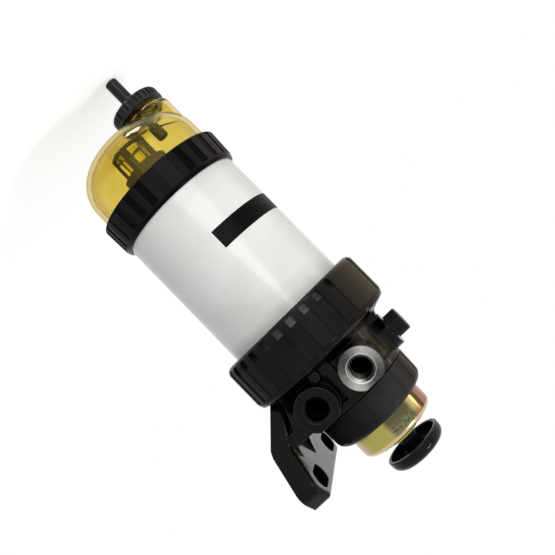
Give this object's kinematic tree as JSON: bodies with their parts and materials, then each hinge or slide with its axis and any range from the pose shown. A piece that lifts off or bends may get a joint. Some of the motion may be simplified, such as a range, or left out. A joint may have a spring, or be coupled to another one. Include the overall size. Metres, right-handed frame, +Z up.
{
  "type": "fuel water separator",
  "caption": "Diesel pre-filter and water separator: cast head with wall bracket and push pump, spin-on can, clear amber bowl with drain tap.",
  "frame": {"origin": "centre of the bracket's two slots, on the mounting face", "axes": "+X out of the mounting face towards the wall, +Z up along the filter's axis to the pump, -Y the side with the open ports"},
  "size_m": [0.1225, 0.114, 0.3268],
  "materials": {
    "head_paint": "satin black paint on a cast head",
    "plug_steel": "zinc plated steel",
    "seal_rubber": "black nitrile rubber",
    "collar_plastic": "fine grained black nylon",
    "can_enamel": "gloss white enamel on drawn steel",
    "tin_plate": "tin plated sheet",
    "cage_plastic": "dark moulded nylon",
    "filter_paper": "pleated resin treated paper",
    "amber_bowl": "clear amber moulding",
    "bowl_ring_plastic": "black nylon with glossy recesses",
    "drain_plastic": "black nylon",
    "vent_plastic": "knurled black nylon",
    "nut_plastic": "satin black nylon",
    "passivated_zinc": "yellow passivated zinc on drawn steel",
    "bush_plastic": "black nylon",
    "button_plastic": "gloss black moulding",
    "rod_plastic": "smooth black rod",
    "spring_steel": "bright spring steel",
    "diaphragm_rubber": "fabric backed rubber"
  },
  "bodies": {
    "head": {"head_casting": "head_paint", "port_plugs": "plug_steel", "port_plug_seals": "seal_rubber", "filter_can": "can_enamel", "can_seal": "seal_rubber", "element_top_plate": "tin_plate", "nipple_seal": "seal_rubber", "element_upper_cap": "cage_plastic", "filter_media": "filter_paper", "centre_tube": "tin_plate", "element_bottom_cap": "cage_plastic", "pump_ring_nut": "nut_plastic", "pump_cover": "passivated_zinc", "rod_bush": "bush_plastic", "pump_diaphragm": "diaphragm_rubber", "pump_spring": "spring_steel", "inlet_valve": "diaphragm_rubber", "outlet_valve": "diaphragm_rubber"},
    "release_collar": {"locking_collar": "collar_plastic"},
    "water_bowl": {"bowl": "amber_bowl", "bowl_seal": "seal_rubber"},
    "bowl_ring": {"bowl_collar": "bowl_ring_plastic"},
    "drain_washer": {"drain_seal": "seal_rubber"},
    "drain_tap": {"drain_cap": "drain_plastic", "drain_stem": "cage_plastic"},
    "vent_washer": {"vent_seal": "seal_rubber"},
    "vent_screw": {"vent_plug": "vent_plastic"},
    "plunger": {"pump_button": "button_plastic", "pump_rod": "rod_plastic", "piston_upper_plate": "tin_plate", "piston_lower_plate": "tin_plate", "rod_clip": "spring_steel"}
  },
  "joints": [
    {"name": "collar_release", "type": "hinge", "parent": "head", "child": "release_collar", "pos_m": [-0.0655, 0, -0.0735], "axis": [0, 0, -1], "range_deg": [0, 40]},
    {"name": "bowl_lower", "type": "slide", "parent": "head", "child": "water_bowl", "axis": [0, 0, -1], "range_m": [0, 0.008]},
    {"name": "bowl_ring_turn", "type": "hinge", "parent": "water_bowl", "child": "bowl_ring", "pos_m": [-0.0655, 0, -0.2], "axis": [0, 0, -1], "range_deg": [0, 720]},
    {"name": "drain_lower", "type": "slide", "parent": "water_bowl", "child": "drain_washer", "axis": [0, 0, -1], "range_m": [0, 0.00375]},
    {"name": "drain_tap_turn", "type": "hinge", "parent": "drain_washer", "child": "drain_tap", "pos_m": [-0.0898, 0, -0.26], "axis": [0, 0, -1], "range_deg": [0, 450]},
    {"name": "vent_back_out", "type": "slide", "parent": "head", "child": "vent_washer", "axis": [-1, 0, 0], "range_m": [0, 0.00225]},
    {"name": "vent_screw_turn", "type": "hinge", "parent": "vent_washer", "child": "vent_screw", "pos_m": [-0.1105, 0, -0.0331], "axis": [-1, 0, 0], "range_deg": [0, 540]},
    {"name": "pump_press", "type": "slide", "parent": "head", "child": "plunger", "axis": [0, 0, -1], "range_m": [0, 0.0115], "stiffness_N_per_m": 1500, "springref_m": -0.005, "deforming": ["pump_spring", "pump_diaphragm"]}
  ],
  "couplings": [
    {"joint": "bowl_ring_turn", "follows": "bowl_lower", "rad_per_m": 1570.8},
    {"joint": "drain_tap_turn", "follows": "drain_lower", "rad_per_m": 2094.4},
    {"joint": "vent_screw_turn", "follows": "vent_back_out", "rad_per_m": 4188.8}
  ]
}
